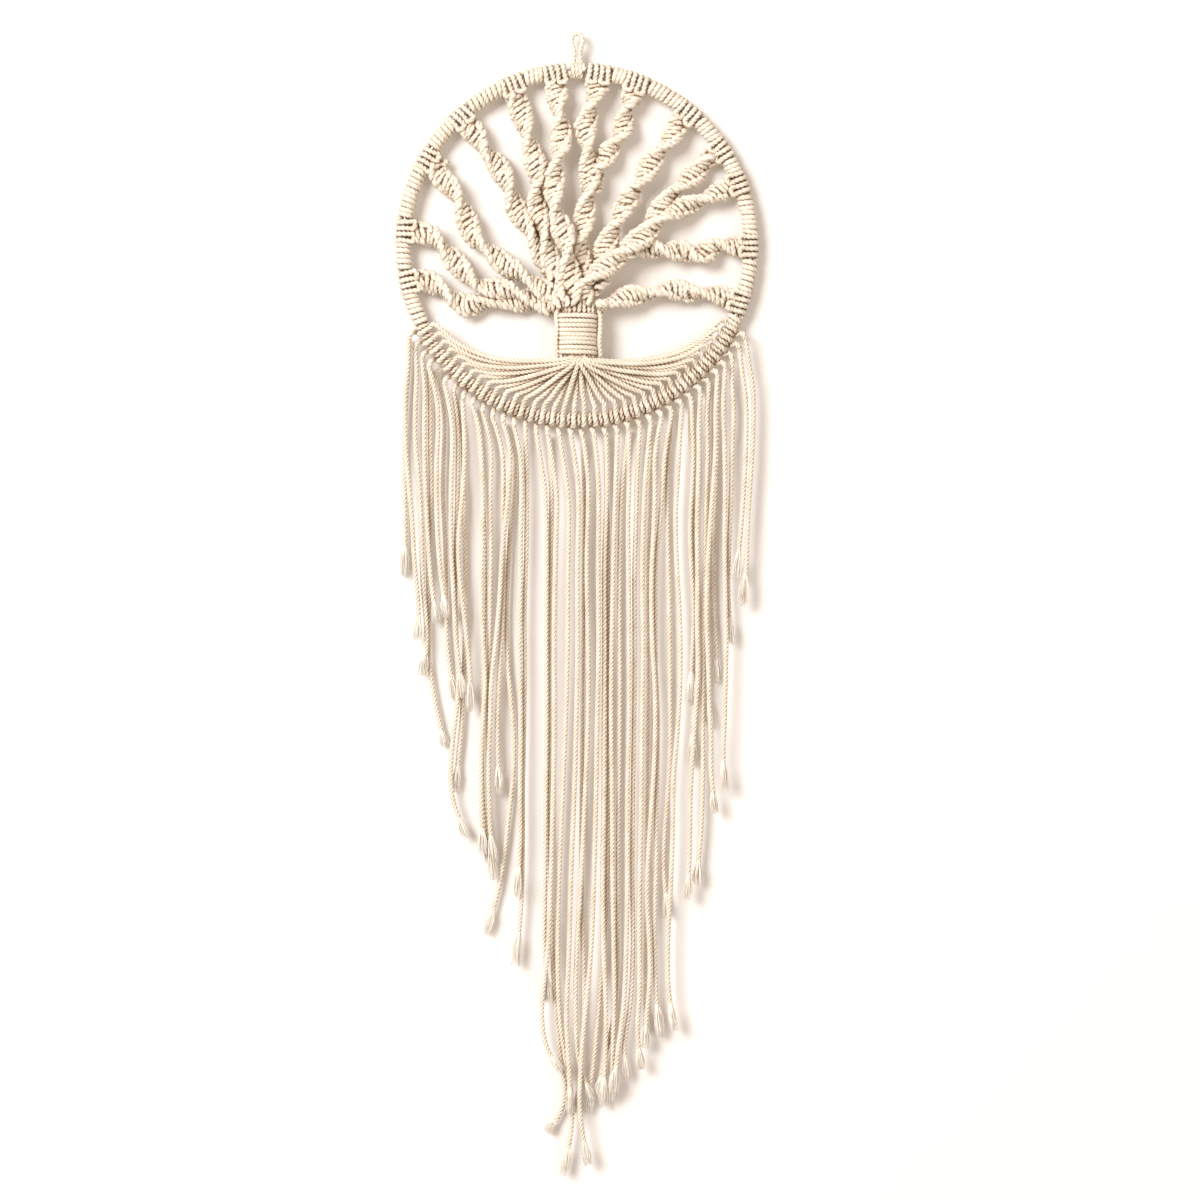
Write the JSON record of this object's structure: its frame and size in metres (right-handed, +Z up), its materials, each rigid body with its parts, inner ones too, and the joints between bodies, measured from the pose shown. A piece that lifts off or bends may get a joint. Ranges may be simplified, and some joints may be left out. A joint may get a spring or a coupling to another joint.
{
  "type": "macrame tree wall hanging",
  "caption": "Cord-wrapped hoop with a knotted tree inside, hung by a loop, with long loose cords hanging from its lower edge.",
  "frame": {"origin": "the top of the hanging loop's eye, on the inside, where it bears on the nail", "axes": "+Z up, -Y towards the room, +Y into the wall, +X to the right seen from the room"},
  "size_m": [0.2594, 0.027, 0.8132],
  "materials": {
    "cotton_cord": "twisted natural cotton, matt",
    "fringe_cord": "twisted natural cotton with frayed ends, matt",
    "wire": "plain steel wire, hidden by the wrapping"
  },
  "bodies": {
    "loop": {"hanging_loop": "cotton_cord"},
    "ring": {"hoop": "wire", "hoop_wrap": "cotton_cord", "branch_01": "cotton_cord", "branch_02": "cotton_cord", "branch_03": "cotton_cord", "branch_04": "cotton_cord", "branch_05": "cotton_cord", "branch_06": "cotton_cord", "branch_07": "cotton_cord", "branch_08": "cotton_cord", "branch_09": "cotton_cord", "branch_10": "cotton_cord", "branch_11": "cotton_cord", "branch_12": "cotton_cord", "branch_13": "cotton_cord", "trunk_core": "cotton_cord", "trunk_wrap": "cotton_cord", "root_cords": "cotton_cord", "hitch_knots": "cotton_cord"},
    "left_outer_fringe": {"fringe_01": "fringe_cord", "fringe_02": "fringe_cord", "fringe_03": "fringe_cord", "fringe_04": "fringe_cord", "fringe_05": "fringe_cord", "fringe_06": "fringe_cord", "fringe_07": "fringe_cord", "fringe_08": "fringe_cord", "left_outer_rear": "fringe_cord"},
    "left_inner_fringe": {"fringe_09": "fringe_cord", "fringe_10": "fringe_cord", "fringe_11": "fringe_cord", "fringe_12": "fringe_cord", "fringe_13": "fringe_cord", "fringe_14": "fringe_cord", "left_inner_rear": "fringe_cord"},
    "centre_fringe": {"fringe_15": "fringe_cord", "fringe_16": "fringe_cord", "fringe_17": "fringe_cord", "fringe_18": "fringe_cord", "fringe_19": "fringe_cord", "fringe_20": "fringe_cord", "fringe_21": "fringe_cord", "fringe_22": "fringe_cord", "fringe_23": "fringe_cord", "fringe_24": "fringe_cord", "fringe_25": "fringe_cord", "fringe_26": "fringe_cord", "fringe_27": "fringe_cord", "fringe_28": "fringe_cord", "centre_rear": "fringe_cord"},
    "right_outer_fringe": {"fringe_29": "fringe_cord", "fringe_30": "fringe_cord", "fringe_31": "fringe_cord", "fringe_32": "fringe_cord", "fringe_33": "fringe_cord", "fringe_34": "fringe_cord", "fringe_35": "fringe_cord", "fringe_36": "fringe_cord", "right_outer_rear": "fringe_cord"}
  },
  "joints": [
    {"name": "ring_tilt", "type": "hinge", "parent": "loop", "child": "ring", "pos_m": [0, 0, -0.025], "axis": [-1, 0, 0], "range_deg": [0, 60]},
    {"name": "left_outer_swing", "type": "hinge", "parent": "ring", "child": "left_outer_fringe", "pos_m": [0, -0.0001, -0.2579], "axis": [-1, 0, 0], "range_deg": [-60, 60]},
    {"name": "left_inner_swing", "type": "hinge", "parent": "ring", "child": "left_inner_fringe", "pos_m": [0, -0.00077, -0.2797], "axis": [-1, 0, 0], "range_deg": [-60, 60]},
    {"name": "centre_swing", "type": "hinge", "parent": "ring", "child": "centre_fringe", "pos_m": [0, -0.00056, -0.2847], "axis": [-1, 0, 0], "range_deg": [-60, 60]},
    {"name": "right_outer_swing", "type": "hinge", "parent": "ring", "child": "right_outer_fringe", "pos_m": [0, -0.00126, -0.2579], "axis": [-1, 0, 0], "range_deg": [-60, 60]}
  ]
}
